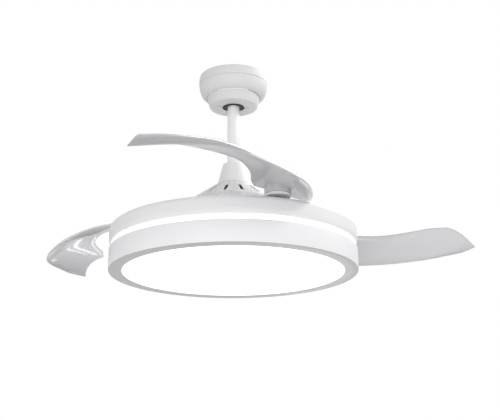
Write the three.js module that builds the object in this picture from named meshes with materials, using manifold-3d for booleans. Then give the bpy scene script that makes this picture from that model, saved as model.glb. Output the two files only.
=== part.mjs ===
// Ceiling fan with three folding blades and a round light drum. Millimetres, +Z up.
// The origin is the middle of the ceiling face of the hanging bracket. The blades stand open.
import * as THREE from "three";
import { mergeVertices } from "three/addons/utils/BufferGeometryUtils.js";
import Module from "manifold-3d";

const wasm = await Module();
wasm.setup();

// ---------------------------------------------------------------- driving dimensions

const GAP = 0.3; // running and seating clearance
const DROP = 427; // ceiling face down to the underside of the light drum

// Light drum, from its underside up
const DRUM_R = 250;
const RIM_WIDTH = 26.7; // flat rim round the diffuser
const RIM_T = 1.5;
const RING_H = 43; // lower ring
const RING_WALL = 3;
const SHELF_W = 15;
const SHELF_T = 1.5;
const BAND_H = 10; // glowing band between the ring and the housing
const BAND_W = 7.4;
const SIDE_INSET = 1.4; // band and housing stand this far inside the ring
const HOUSING_H = 42.4;
const SHOULDER_W = 37;
const HOUSING_T = 1.6;
const RECESS_EDGE_W = 7.6; // flat edge between the shoulder and the recess
const RECESS_DEPTH = 10;
const RECESS_HOLE_R = 12;
const DIFFUSER_T = 2.2;
const DIFFUSER_LAP = 7; // edge of the diffuser over the rim
const TRAY_T = 1.2;
const TRAY_LAP = 8; // edge of the tray over the ring's shelf
const TRAY_HOLE_R = 14;
const BOARD_T = 1.6;
const BOARD_IN_R = 60;
const BOARD_OUT_R = 205;
const STRIP_T = 1.2;
const STRIP_H = 7;
const CLIPS = 3;
const CLIP_W = 14;
const CLIP_T = 1.5;
const CLIP_H = 10;
const DRIVER = [118, 52, 24]; // length, width, height
const RECEIVER = [62, 36, 17];
const DRIVER_TURN = 60;
const RECEIVER_TURN = 180;
const ELECTRIC_AT = 95;
const FRAME_R = 62; // casting that carries the drum on the shaft
const FRAME_T = 3;
const FRAME_HUB_R = 15;
const FRAME_HUB_H = 22;
const FRAME_LEG_R = 5;
const FRAME_LEG_AT = 46;
const NUT_R = 11.5;
const NUT_T = 6;

// Motor
const SHAFT_R = 6.5;
const SHAFT_BORE = 4.5;
const SHAFT_IN_YOKE = 14;
const SHAFT_PAST_NUT = 1.5;
const COLLAR_R = 9;
const COLLAR_H = 4;
const ROTOR_WALL = 1.8;
const ROTOR_UP = 9; // carrier to the rotor's lower shell
const TOWER_R = 53;
const TOWER_H = 18;
const STATOR_R = 71;
const STATOR_T = 10;
const CORE_CLEAR = 0.2; // core to the end of the bearing seats
const STATOR_SLOTS = 12;
const STATOR_SLOT_W = 9;
const STATOR_BACK_R = 28;
const STATOR_TIP = 3;
const WINDING_IN_R = 33.5;
const WINDING_INSET = 11;
const WINDING_OVER = 3.5; // winding above and below the core
const AIR_GAP = 0.8;
const MAGNET_T = 8.1;
const MAGNET_H = 14;
const BEARING_R = 14;
const BEARING_H = 5;

// Vented cover over the motor
const COVER_TOP_R = 31;
const COVER_UP = 3; // rotor to the cover's lip
const COVER_LIP_H = 3;
const COVER_OVERHANG = 15;
const COVER_T = 1.6;
const VENTS = 15;
const VENT_W = 4.6;
const VENT_IN_R = 60;
const VENT_OUT_R = 82;
const VENT_TURN = -77;

// Down rod and what joins it to the motor
const ROD_R = 12.8;
const ROD_WALL = 1.8;
const ROD_STOP = 2; // shaft's end to the rod's end
const ROD_IN_YOKE = 26;
const ROD_OVER_BALL = 3;
const CONE_UP = 6.5; // yoke's top to the cone's top
const CONE_TOP_R = 20.7;
const CONE_LOW_R = 29.7;
const CONE_T = 1.5;
const YOKE_R = 17.2;
const YOKE_UP = 28; // rotor's top to the yoke
const YOKE_FLANGE_R = 26;
const YOKE_FLANGE_T = 3;
const CLEVIS_UP = 8; // rod's end to the pin
const CLEVIS_R = 2.5;
const CLEVIS_HEAD_R = 3.7;
const CLEVIS_HEAD_T = 1.4;
const COTTER_R = 0.7;
const COTTER_L = 10;
const SET_SCREW_DOWN = 7; // yoke's top to the screw
const SET_SCREW_R = 2.5;

// Ceiling fittings. Depths are below the ceiling.
const PLATE_L = 104;
const PLATE_W = 38;
const STEEL_T = 2.5;
const LEG_INSET = 3;
const LEG_W = 26;
const BALL_R = 26;
const BALL_DEPTH = 50;
const BALL_TOP = 15;
const BALL_LOW = 18.6;
const SOCKET_R = 22.3;
const SOCKET_OUT_R = 37;
const BALL_PIN_R = 3;
const BALL_PIN_L = 44;
const CEILING_SCREW_AT = 22;
const CEILING_SCREW_R = 2.6;
const CEILING_HEAD_R = 5.2;
const CEILING_HEAD_T = 2.6;
const CEILING_SLOT_L = 13;
const CANOPY_R = 70;
const CANOPY_WIDE_R = 72.7;
const CANOPY_SEAM = 17.5;
const CANOPY_EDGE = 0.8; // rounding of the edges at the seam
const CANOPY_NECK_R = 53.8;
const CANOPY_RING_H = 20.5;
const CANOPY_LOW_R = 50.2;
const CANOPY_T = 1.5;
const CANOPY_ROOM = 2.4; // socket to the canopy's bottom
const CANOPY_HOLE_CLEAR = 3.3; // ball to the canopy's hole
const CANOPY_SCREW_R = 2;
const CANOPY_HEAD_R = 3.6;
const CANOPY_HEAD_T = 1.5;
const CANOPY_SCREW_TURN = 10;

// Blade carrier, pivots and the linkage that folds the blades together
const BLADES = 3;
const PIVOT_INSET = 36; // drum's radius less the pivot's
const PIVOT_TURN = -66.6;
const CARRIER_UP = 2; // housing to the carrier
const CARRIER_T = 5;
const CARRIER_R = 84;
const ARM_ROOT_W = 62;
const ARM_END_R = 24;
const HUB_R = 9.4;
const STANDOFF_INSET = 5;
const STANDOFF_R = 7;
const CARRIER_SCREW_R = 2.2;
const CARRIER_HEAD_R = 4.4;
const CARRIER_HEAD_T = 2.5;
const POST_R = 4;
const POST_HEAD_R = 8;
const POST_HEAD_T = 2.3;
const CRANK_R = 17;
const CRANK_OPEN = 132; // crank angle from the outward radius with the blades open
const CRANK_PIN_R = 2.2;
const LINK_T = 4;
const LINK_W = 6.5;
const LINK_EYE_R = 5.2;
const DISC_RIM = 0.2; // disc edge outside the link eyes
const DISC_T = 3.2;
const SPRING_WIRE_R = 0.6;
const SPRING_TURNS = 3;
const SPRING_PITCH = 2.6;

// Blade
const BLADE_T = 2.4;
const BOSS_WALL = 2;
const EYE_CLEAR = 0.6; // link's eye to the boss
const BOSS_TUBE_R = 7.4;
const CRANK_BOSS_R = 4.2;
const WINDOW_START = 118; // opening in the boss where the link comes in, from the outward radius
const WINDOW_END = 252;
const PAD_R = 14;
const PAD_UP = 20; // carrier to the pad's top
const CAP_R = 12.5;
const CAP_T = 3.6;
const CAP_CROWN = 1.2;
const TIP_HOLLOW = 8;
const ROOT_ROUND = 25;
const END_REACH = 0.2; // share of the length that the shape of each end takes

// Outer lower edge, outer crest and inner edge of the first blade, from tip to root, measured from
// its pivot and the carrier's top: x, y, z
const OUTER_EDGE = [
  [-238.5, -314.6, -19.5],
  [-190, -320.6, -20.5],
  [-145, -315.1, -19],
  [-108.5, -308.6, -18],
  [-70, -287.1, -19],
  [-24, -243.6, -21],
  [13, -195.6, -21.7],
  [39, -153.6, -22],
  [59, -103.6, -22],
  [69, -48.6, -20.5],
  [69, -0.6, -15],
];
const CREST = [
  [-238, -311.6, -4],
  [-188, -323.6, -6],
  [-141, -321.6, -8.5],
  [-103, -311.6, -8.5],
  [-70, -286.6, -8],
  [-26, -236.6, -5],
  [6, -187.6, -2.7],
  [29, -136.6, -1.7],
  [49, -87.6, -1.7],
  [62, -41.6, -2],
  [65, 0.4, -1],
];
const INNER_EDGE = [
  [-225.5, -250.6, 19],
  [-197, -228.6, 21],
  [-158, -210.6, 21],
  [-118, -188.1, 20.3],
  [-93, -166.6, 20.5],
  [-74, -142.6, 21.5],
  [-62, -117.6, 22],
  [-54, -89.6, 22],
  [-49.5, -61.6, 21.8],
  [-49, -29.6, 21],
  [-44, 1.4, 20],
];

// Facets round a turned piece
const FINE = 40;
const ROUND = 24;
const MEDIUM = 16;
const SMALL = 10;

// ---------------------------------------------------------------- geometry helpers

const rad = THREE.MathUtils.degToRad;
const polar = (radius, degrees) => [radius * Math.cos(rad(degrees)), radius * Math.sin(rad(degrees))];
const steps = (count, at) => Array.from({ length: count + 1 }, (_, i) => at(i / count));
const round = (count, make) => Array.from({ length: count }, (_, i) => make((360 / count) * i));

// A closed geometry as a solid with its faces pointing out.
function solid(geometry) {
  const bare = geometry.clone();
  bare.deleteAttribute("normal");
  bare.deleteAttribute("uv");
  const merged = mergeVertices(bare, 1e-4);
  const corners = merged.index.array;
  const kept = [];
  for (let i = 0; i < corners.length; i += 3) {
    const [a, b, c] = corners.slice(i, i + 3);
    if (a !== b && b !== c && c !== a) kept.push([a, b, c]);
  }
  const build = (triangles) => new wasm.Manifold(new wasm.Mesh({
    numProp: 3,
    vertProperties: new Float32Array(merged.attributes.position.array),
    triVerts: new Uint32Array(triangles.flat()),
  }));
  const made = build(kept);
  return made.volume() > 0 ? made : build(kept.map(([a, b, c]) => [a, c, b]));
}

function geometryOf(body) {
  const mesh = body.getMesh();
  const points = new Float32Array(mesh.numVert * 3);
  for (let i = 0; i < mesh.numVert; i++) {
    const start = i * mesh.numProp;
    points.set(mesh.vertProperties.subarray(start, start + 3), i * 3);
  }
  const geometry = new THREE.BufferGeometry();
  geometry.setAttribute("position", new THREE.BufferAttribute(points, 3));
  geometry.setIndex(new THREE.BufferAttribute(new Uint32Array(mesh.triVerts), 1));
  geometry.computeVertexNormals();
  return geometry;
}

// A body of revolution about Z from [radius, height] points, closed on itself or on the axis.
function turned(profile, segments = ROUND) {
  const points = profile.map(([r, z]) => new THREE.Vector2(r, z));
  points.push(points[0].clone());
  return solid(new THREE.LatheGeometry(points, segments).rotateX(Math.PI / 2));
}

const tube = (outer, inner, low, high, segments) =>
  turned([[inner, low], [outer, low], [outer, high], [inner, high]], segments);

const cylinder = (radius, low, high, segments = SMALL) =>
  solid(new THREE.CylinderGeometry(radius, radius, high - low, segments)
    .rotateX(Math.PI / 2)
    .translate(0, 0, (low + high) / 2));

const alongX = (radius, length, [x, y, z]) =>
  solid(new THREE.CylinderGeometry(radius, radius, length, SMALL).rotateZ(Math.PI / 2).translate(x, y, z));

const alongY = (radius, length, [x, y, z]) =>
  solid(new THREE.CylinderGeometry(radius, radius, length, SMALL).translate(x, y, z));

const box = (length, width, low, high, [x, y] = [0, 0]) =>
  solid(new THREE.BoxGeometry(length, width, high - low).translate(x, y, (low + high) / 2));

const plate = (shape, low, high, curveSegments = 4) =>
  solid(new THREE.ExtrudeGeometry(shape, { depth: high - low, bevelEnabled: false, curveSegments })
    .translate(0, 0, low));

// A flat bar with round ends from one point to another.
function bar(from, to, width, low, high) {
  const turn = Math.atan2(to[1] - from[1], to[0] - from[0]);
  const shape = new THREE.Shape();
  shape.absarc(0, 0, width / 2, Math.PI / 2, 1.5 * Math.PI);
  shape.absarc(Math.hypot(to[0] - from[0], to[1] - from[1]), 0, width / 2, -Math.PI / 2, Math.PI / 2);
  return plate(shape, low, high, 2).rotate([0, 0, THREE.MathUtils.radToDeg(turn)]).translate([...from, 0]);
}

// A slice of a disc between two angles in degrees.
function slice(radius, low, high, start, end) {
  const shape = new THREE.Shape();
  shape.moveTo(0, 0);
  shape.lineTo(...polar(radius, start));
  shape.absarc(0, 0, radius, rad(start), rad(end));
  return plate(shape, low, high);
}

const joined = (bodies) => bodies.reduce((all, body) => all.add(body));
const cutBy = (body, cutters) => cutters.reduce((left, cutter) => left.subtract(cutter), body);
const spun = (body, degrees) => body.rotate([0, 0, degrees]);
const moved = (body, [x, y], z = 0) => body.translate([x, y, z]);

// ---------------------------------------------------------------- heights above the drum's underside

const sideR = DRUM_R - SIDE_INSET;
const recessR = sideR - SHOULDER_W - RECESS_EDGE_W;
const pivotAt = DRUM_R - PIVOT_INSET;
const bandLow = RING_H + GAP;
const bandTop = bandLow + BAND_H;
const housingLow = bandTop + GAP;
const housingTop = housingLow + HOUSING_H;
const recessFloor = housingTop - RECESS_DEPTH;
const recessUnder = recessFloor - HOUSING_T;
const frameTop = recessUnder - GAP;
const frameLow = frameTop - FRAME_T;
const nutTop = frameLow - FRAME_HUB_H - GAP;
const nutLow = nutTop - NUT_T;
const carrierLow = housingTop + CARRIER_UP;
const carrierTop = carrierLow + CARRIER_T;
const rotorLow = carrierTop + ROTOR_UP;
const rotorFloor = rotorLow + ROTOR_WALL;
const statorLow = rotorFloor + BEARING_H + CORE_CLEAR;
const statorHigh = statorLow + STATOR_T;
const rotorHigh = statorHigh + CORE_CLEAR + BEARING_H + ROTOR_WALL;
const towerTop = rotorHigh + TOWER_H;
const coverLow = rotorHigh + COVER_UP;
const yokeLow = towerTop + YOKE_UP;
const yokeFlangeTop = yokeLow + YOKE_FLANGE_T;
const coverTop = yokeFlangeTop + GAP + COVER_T;
const coneLow = coverTop + GAP;
const shaftEnd = nutLow - SHAFT_PAST_NUT;
const shaftTop = yokeLow + SHAFT_IN_YOKE;
const rodLow = shaftTop + ROD_STOP;
const clevisHeight = rodLow + CLEVIS_UP;
const yokeTop = rodLow + ROD_IN_YOKE;
const setScrewHeight = yokeTop - SET_SCREW_DOWN;
const coneTop = yokeTop + CONE_UP;
const ballHeight = DROP - BALL_DEPTH;

// ---------------------------------------------------------------- ceiling fittings

const socketMid = -BALL_DEPTH - Math.sqrt(BALL_R ** 2 - SOCKET_R ** 2);
const socketLow = socketMid - STEEL_T / 2;
const socketTop = socketMid + STEEL_T / 2;
const socketBore = (height) => Math.sqrt(BALL_R ** 2 - (height + BALL_DEPTH) ** 2) + GAP;
const legX = SOCKET_OUT_R - LEG_INSET;
const canopyLow = CANOPY_ROOM + CANOPY_T - socketLow;
const canopyNeck = canopyLow - CANOPY_RING_H;
const canopyHoleR = socketBore(CANOPY_T - canopyLow) + CANOPY_HOLE_CLEAR;
const canopyScrewPlaces = round(2, (turn) => polar((SOCKET_R + SOCKET_OUT_R) / 2, turn + CANOPY_SCREW_TURN));

function hangingBracket() {
  const slotEnd = (CEILING_SLOT_L - 2 * CEILING_SCREW_R) / 2;
  const slot = bar([-slotEnd, 0], [slotEnd, 0], 2 * (CEILING_SCREW_R + GAP), -2 * STEEL_T, STEEL_T);
  const hole = cylinder(CANOPY_SCREW_R + GAP, socketLow - 1, socketTop + 1);
  const body = joined([
    box(PLATE_L, PLATE_W, -STEEL_T, 0),
    ...[-legX, legX].map((x) => box(STEEL_T, LEG_W, socketLow, -STEEL_T / 2, [x, 0])),
    turned([
      [socketBore(socketLow), socketLow],
      [SOCKET_OUT_R, socketLow],
      [SOCKET_OUT_R, socketTop],
      [socketBore(socketTop), socketTop],
    ]),
  ]);
  return cutBy(body, [
    ...[-CEILING_SCREW_AT, CEILING_SCREW_AT].map((x) => moved(slot, [x, 0])),
    ...canopyScrewPlaces.map((at) => moved(hole, at)),
  ]);
}

function ceilingScrew() {
  const headTop = -STEEL_T - GAP;
  const head = cylinder(CEILING_HEAD_R, headTop - CEILING_HEAD_T, headTop);
  return head.add(cylinder(CEILING_SCREW_R, headTop - 1, -GAP));
}

function canopyBand() {
  const low = -CANOPY_SEAM + GAP / 2;
  return turned([
    [CANOPY_WIDE_R - 2 * CANOPY_T, low],
    [CANOPY_WIDE_R - CANOPY_EDGE, low],
    [CANOPY_WIDE_R, low + CANOPY_EDGE],
    [CANOPY_WIDE_R, low + 5],
    [CANOPY_R, -GAP],
    [CANOPY_R - CANOPY_T, -GAP],
  ], FINE);
}

// The bowl narrows from the seam to the neck on a quarter ellipse.
function canopyBowl() {
  const top = -CANOPY_SEAM - GAP / 2;
  const narrow = CANOPY_NECK_R + 1;
  const wall = (inset) => steps(4, (share) => {
    const angle = (share * Math.PI) / 2;
    return [
      narrow - inset + (CANOPY_WIDE_R - CANOPY_EDGE - narrow) * Math.cos(angle),
      top - (canopyNeck + top - inset) * Math.sin(angle),
    ];
  });
  return turned([...wall(0), ...wall(CANOPY_T).reverse()], FINE);
}

function canopyLowerRing() {
  const top = -canopyNeck - GAP;
  const chamfer = 1.2;
  const body = turned([
    [canopyHoleR, -canopyLow],
    [CANOPY_LOW_R - chamfer, -canopyLow],
    [CANOPY_LOW_R, -canopyLow + chamfer],
    [CANOPY_NECK_R, top],
    [CANOPY_NECK_R - CANOPY_T, top],
    [CANOPY_LOW_R - CANOPY_T, -canopyLow + CANOPY_T],
    [canopyHoleR, -canopyLow + CANOPY_T],
  ], FINE);
  const hole = cylinder(CANOPY_SCREW_R + GAP, -canopyLow - 1, -canopyLow + CANOPY_T + 1);
  return cutBy(body, canopyScrewPlaces.map((at) => moved(hole, at)));
}

function canopyScrew(at) {
  const headTop = -canopyLow - GAP;
  const head = cylinder(CANOPY_HEAD_R, headTop - CANOPY_HEAD_T, headTop);
  return moved(head.add(cylinder(CANOPY_SCREW_R, headTop - 1, socketTop + 1)), at);
}

// ---------------------------------------------------------------- ball, rod, yoke and their covers

const shaftHole = SHAFT_R + GAP;
const rodHole = ROD_R + GAP;

function hangerBall() {
  const arc = steps(6, (share) => {
    const height = share * (BALL_LOW + BALL_TOP) - BALL_LOW;
    return [Math.sqrt(BALL_R ** 2 - height ** 2), ballHeight + height];
  });
  const body = turned([
    [rodHole, ballHeight - BALL_LOW],
    ...arc,
    [rodHole, ballHeight + BALL_TOP],
  ]);
  return body.subtract(alongY(BALL_PIN_R + GAP, 3 * BALL_R, [0, 0, ballHeight]));
}

const ballCrossPin = () => alongY(BALL_PIN_R, BALL_PIN_L, [0, 0, ballHeight]);

function downrod() {
  const body = tube(ROD_R, ROD_R - ROD_WALL, rodLow, ballHeight + BALL_TOP + ROD_OVER_BALL);
  return cutBy(body, [
    alongY(BALL_PIN_R + GAP, 3 * ROD_R, [0, 0, ballHeight]),
    alongY(CLEVIS_R + GAP, 3 * ROD_R, [0, 0, clevisHeight]),
  ]);
}

function motorYoke() {
  const seat = rodLow - GAP;
  const body = turned([
    [shaftHole, yokeLow],
    [YOKE_FLANGE_R, yokeLow],
    [YOKE_FLANGE_R, yokeFlangeTop],
    [YOKE_R, yokeFlangeTop],
    [YOKE_R, yokeTop],
    [rodHole, yokeTop],
    [rodHole, seat],
    [shaftHole, seat],
  ]);
  return cutBy(body, [
    alongY(CLEVIS_R + GAP, 3 * YOKE_R, [0, 0, clevisHeight]),
    alongX(SET_SCREW_R + GAP, 2 * YOKE_R, [YOKE_R, 0, setScrewHeight]),
  ]);
}

const cotterY = YOKE_R + GAP + 2 * COTTER_R;

function clevisPin() {
  const reach = cotterY + 2 * COTTER_R;
  const stem = alongY(CLEVIS_R, 2 * reach, [0, 0, clevisHeight]);
  const head = alongY(CLEVIS_HEAD_R, CLEVIS_HEAD_T, [0, -YOKE_R - GAP - CLEVIS_HEAD_T / 2, clevisHeight]);
  return stem.add(head).subtract(alongX(COTTER_R + GAP, 4 * CLEVIS_R, [0, cotterY, clevisHeight]));
}

const cotterPin = () => alongX(COTTER_R, COTTER_L, [0, cotterY, clevisHeight]);

function setScrew() {
  const length = YOKE_R - ROD_R + 1;
  return alongX(SET_SCREW_R, length, [ROD_R + GAP + length / 2, 0, setScrewHeight]);
}

function couplingCover() {
  const edge = 1.5;
  return turned([
    [CONE_LOW_R - CONE_T, coneLow],
    [CONE_LOW_R, coneLow],
    [CONE_TOP_R, coneTop - edge],
    [CONE_TOP_R - edge, coneTop],
    [rodHole, coneTop],
    [rodHole, coneTop - CONE_T],
    [CONE_TOP_R - edge - CONE_T / 2, coneTop - CONE_T],
    [CONE_TOP_R - CONE_T, coneTop - CONE_T - edge],
  ], FINE);
}

function ventedCover() {
  const coverR = rotorR + COVER_OVERHANG;
  const inner = coverR - COVER_T;
  const body = turned([
    [YOKE_R + GAP, coverTop - COVER_T],
    [COVER_TOP_R - COVER_T / 2, coverTop - COVER_T],
    [inner, coverLow + COVER_LIP_H - COVER_T / 2],
    [inner, coverLow],
    [coverR, coverLow],
    [coverR, coverLow + COVER_LIP_H],
    [COVER_TOP_R, coverTop],
    [YOKE_R + GAP, coverTop],
  ], FINE);
  const slot = bar([VENT_IN_R, 0], [VENT_OUT_R, 0], VENT_W, coverLow, coverTop);
  return cutBy(body, round(VENTS, (turn) => spun(slot, turn + VENT_TURN)));
}

// ---------------------------------------------------------------- motor

const windingOutR = STATOR_R - WINDING_INSET;
const standoffAt = STATOR_R - STANDOFF_INSET;
const magnetR = STATOR_R + AIR_GAP + MAGNET_T;
const rotorIn = magnetR + GAP;
const rotorR = rotorIn + ROTOR_WALL;
const rotorSplit = (rotorLow + rotorHigh) / 2;
const bearingSeat = BEARING_R + GAP;
const bearingLip = BEARING_R - 3;
const towerRoof = towerTop - ROTOR_WALL;
const upperBearingLow = towerRoof - BEARING_H + GAP;

function motorShaft() {
  const collarTop = upperBearingLow - GAP;
  return tube(SHAFT_R, SHAFT_BORE, shaftEnd, shaftTop, ROUND)
    .add(tube(COLLAR_R, SHAFT_BORE + 1, collarTop - COLLAR_H, collarTop, ROUND));
}

function statorSlots(width, low, high) {
  const far = STATOR_R - STATOR_TIP;
  const slot = box(far - STATOR_BACK_R, width, low, high, [(far + STATOR_BACK_R) / 2, 0]);
  return round(STATOR_SLOTS, (turn) => spun(slot, turn));
}

function statorCore() {
  const [low, high] = [statorLow - 1, statorHigh + 1];
  const mouth = box(4 * STATOR_TIP, STATOR_TIP, low, high, [STATOR_R, 0]);
  return cutBy(tube(STATOR_R, shaftHole, statorLow, statorHigh, FINE), [
    ...statorSlots(STATOR_SLOT_W, low, high),
    ...round(STATOR_SLOTS, (turn) => spun(mouth, turn)),
  ]);
}

// The winding fills the slots and stands over both faces of the core.
function statorWinding() {
  const ring = tube(windingOutR, WINDING_IN_R, statorLow - WINDING_OVER, statorHigh + WINDING_OVER);
  const core = tube(STATOR_R, SHAFT_R, statorLow - GAP, statorHigh + GAP);
  return ring.subtract(cutBy(core, statorSlots(STATOR_SLOT_W - 2 * GAP, statorLow - 1, statorHigh + 1)));
}

function magnetRing() {
  return tube(magnetR, STATOR_R + AIR_GAP, rotorSplit - MAGNET_H / 2, rotorSplit + MAGNET_H / 2);
}

const bearing = (low) => tube(BEARING_R, shaftHole, low, low + BEARING_H - 2 * GAP);

const bladeTurns = round(BLADES, (turn) => turn + PIVOT_TURN);
const standoffPlaces = bladeTurns.map((turn) => polar(standoffAt, turn + 180 / BLADES));

function rotorLower() {
  const top = rotorSplit - GAP / 2;
  const body = turned([
    [bearingLip, rotorLow],
    [rotorR - 1, rotorLow],
    [rotorR, rotorLow + 1],
    [rotorR, top],
    [rotorIn, top],
    [rotorIn, rotorFloor],
    [bearingSeat + ROTOR_WALL, rotorFloor],
    [bearingSeat + ROTOR_WALL, rotorFloor + BEARING_H - GAP],
    [bearingSeat, rotorFloor + BEARING_H - GAP],
    [bearingSeat, rotorFloor],
    [bearingLip, rotorFloor],
  ]);
  const hole = cylinder(CARRIER_SCREW_R + GAP, rotorLow - 1, rotorFloor + 1);
  return cutBy(body, standoffPlaces.map((at) => moved(hole, at)));
}

function rotorUpper() {
  const low = rotorSplit + GAP / 2;
  const under = rotorHigh - ROTOR_WALL;
  const towerIn = TOWER_R - ROTOR_WALL;
  return turned([
    [rotorR, low],
    [rotorR, rotorHigh - 1],
    [rotorR - 1, rotorHigh],
    [TOWER_R, rotorHigh],
    [TOWER_R, towerTop - 2],
    [TOWER_R - 2, towerTop],
    [bearingLip, towerTop],
    [bearingLip, towerRoof],
    [bearingSeat, towerRoof],
    [bearingSeat, towerRoof - BEARING_H],
    [bearingSeat + ROTOR_WALL, towerRoof - BEARING_H],
    [bearingSeat + ROTOR_WALL, towerRoof],
    [towerIn, towerRoof],
    [towerIn, under],
    [rotorIn, under],
    [rotorIn, low],
  ]);
}

// ---------------------------------------------------------------- carrier, posts and folding linkage

const linkLow = carrierTop + GAP;
const linkTop = linkLow + LINK_T;
const discLow = linkTop + GAP;
const postHole = POST_R + GAP;
const padTop = carrierTop + PAD_UP;
const postTop = padTop + CAP_T / 2;
const bossR = CRANK_R + LINK_EYE_R + EYE_CLEAR + BOSS_WALL;

function bladeCarrier() {
  const shape = new THREE.Shape();
  shape.moveTo(0, -ARM_ROOT_W / 2);
  shape.lineTo(pivotAt, -ARM_END_R);
  shape.absarc(pivotAt, 0, ARM_END_R, -Math.PI / 2, Math.PI / 2);
  shape.lineTo(0, ARM_ROOT_W / 2);
  const arm = plate(shape, carrierLow, carrierTop);
  const top = rotorLow - GAP;
  const standoff = cylinder(STANDOFF_R, carrierLow, top);
  const screwHole = cylinder(CARRIER_SCREW_R + GAP, carrierLow - 1, top + 1);
  const postSeat = cylinder(postHole, carrierLow - 1, carrierTop + 1)
    .add(cylinder(POST_HEAD_R + GAP, carrierLow - 1, carrierLow + POST_HEAD_T + 2 * GAP, MEDIUM));
  const body = joined([
    cylinder(CARRIER_R, carrierLow, carrierTop, ROUND),
    cylinder(HUB_R, carrierLow, top, ROUND),
    ...bladeTurns.map((turn) => spun(arm, turn)),
    ...standoffPlaces.map((at) => moved(standoff, at)),
  ]);
  return cutBy(body, [
    cylinder(shaftHole + GAP, carrierLow - 1, top + 1, ROUND),
    ...bladeTurns.map((turn) => moved(postSeat, polar(pivotAt, turn))),
    ...standoffPlaces.map((at) => moved(screwHole, at)),
  ]);
}

function carrierScrew(at) {
  const headTop = carrierLow - GAP;
  const head = cylinder(CARRIER_HEAD_R, headTop - CARRIER_HEAD_T, headTop);
  return moved(head.add(cylinder(CARRIER_SCREW_R, headTop - 1, rotorFloor + 1)), at);
}

function pivotPost() {
  const low = carrierLow + GAP;
  const body = cylinder(POST_HEAD_R, low, low + POST_HEAD_T, MEDIUM).add(cylinder(POST_R, low, postTop));
  return moved(body, polar(pivotAt, PIVOT_TURN));
}

function pivotCap() {
  const low = padTop + GAP;
  const top = low + CAP_T;
  const body = turned([
    [postHole, low],
    [CAP_R, low],
    [CAP_R, top - CAP_CROWN],
    [CAP_R - CAP_CROWN, top - CAP_CROWN / 3],
    [CAP_R - 3 * CAP_CROWN, top],
    [0, top],
    [0, postTop + GAP],
    [postHole, postTop + GAP],
  ], MEDIUM);
  return moved(body, polar(pivotAt, PIVOT_TURN));
}

// The crank pins of disc and blades stand at one angle, so each link stays parallel to its arm.
const crankAt = (turn) => polar(CRANK_R, turn + CRANK_OPEN);

function syncDisc() {
  const rim = CRANK_R + LINK_EYE_R + DISC_RIM;
  const pin = cylinder(CRANK_PIN_R, linkLow, discLow + 1);
  return joined([
    tube(rim, HUB_R + GAP, discLow, discLow + DISC_T),
    ...bladeTurns.map((turn) => moved(pin, crankAt(turn))),
  ]);
}

function linkRod() {
  const near = crankAt(PIVOT_TURN);
  const pivot = polar(pivotAt, PIVOT_TURN);
  const far = [near[0] + pivot[0], near[1] + pivot[1]];
  const eye = cylinder(LINK_EYE_R, linkLow, linkTop);
  const hole = cylinder(CRANK_PIN_R + GAP, linkLow - 1, linkTop + 1);
  const body = joined([bar(near, far, LINK_W, linkLow, linkTop), moved(eye, near), moved(eye, far)]);
  return cutBy(body, [moved(hole, near), moved(hole, far)]);
}

class Helix extends THREE.Curve {
  constructor(radius, pitch, turns) {
    super();
    Object.assign(this, { radius, pitch, turns });
  }

  getPoint(share, target = new THREE.Vector3()) {
    const angle = 2 * Math.PI * this.turns * share;
    const height = this.pitch * this.turns * share;
    return target.set(this.radius * Math.cos(angle), this.radius * Math.sin(angle), height);
  }
}

// The coil lies round the blade's hub tube, inside the path of the link's eye.
function returnSpring() {
  const wire = new THREE.Shape();
  wire.absarc(0, 0, SPRING_WIRE_R, 0, 2 * Math.PI);
  const coil = new THREE.ExtrudeGeometry(wire, {
    steps: 12 * SPRING_TURNS,
    curveSegments: 2,
    extrudePath: new Helix(BOSS_TUBE_R + SPRING_WIRE_R + 2 * GAP, SPRING_PITCH, SPRING_TURNS),
  });
  return moved(solid(coil), polar(pivotAt, PIVOT_TURN), linkLow + 2 * SPRING_WIRE_R);
}

// ---------------------------------------------------------------- blade

const bladeOrigin = new THREE.Vector3(...polar(pivotAt, PIVOT_TURN), carrierTop);
const splineOf = (points) =>
  new THREE.CatmullRomCurve3(points.map((p) => new THREE.Vector3(...p).add(bladeOrigin)));
const outerEdge = splineOf(OUTER_EDGE);
const crestLine = splineOf(CREST);
const innerEdge = splineOf(INNER_EDGE);
const towardsRoot = new THREE.Vector3(0.95, 0.3, 0);
const pastRoot = new THREE.Vector3(-0.17, 0.98, 0);

// A point of the upper face, along from tip to root and across from the outer to the inner edge.
function bladePoint(along, across) {
  const crest = crestLine.getPoint(along);
  const inner = innerEdge.getPoint(along);
  const shoulder = crest.clone().lerp(inner, 0.3);
  shoulder.z = THREE.MathUtils.lerp(crest.z, inner.z, 0.9);
  const section = new THREE.CubicBezierCurve3(outerEdge.getPoint(along), crest, shoulder, inner);
  const bow = 4 * across * (1 - across);
  const nearTip = Math.max(0, 1 - along / END_REACH) ** 2;
  const nearRoot = Math.max(0, 1 - (1 - along) / END_REACH) ** 2;
  return section.getPoint(across)
    .addScaledVector(towardsRoot, TIP_HOLLOW * bow * nearTip)
    .addScaledVector(pastRoot, ROOT_ROUND * bow * nearRoot);
}

function bladeNormal(along, across) {
  const step = 0.01;
  const inside = (value) => THREE.MathUtils.clamp(value, 0, 1);
  const lengthwise = bladePoint(inside(along + step), across).sub(bladePoint(inside(along - step), across));
  const crosswise = bladePoint(along, inside(across + step)).sub(bladePoint(along, inside(across - step)));
  const normal = crosswise.cross(lengthwise).normalize();
  return normal.z < 0 ? normal.negate() : normal;
}

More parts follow.
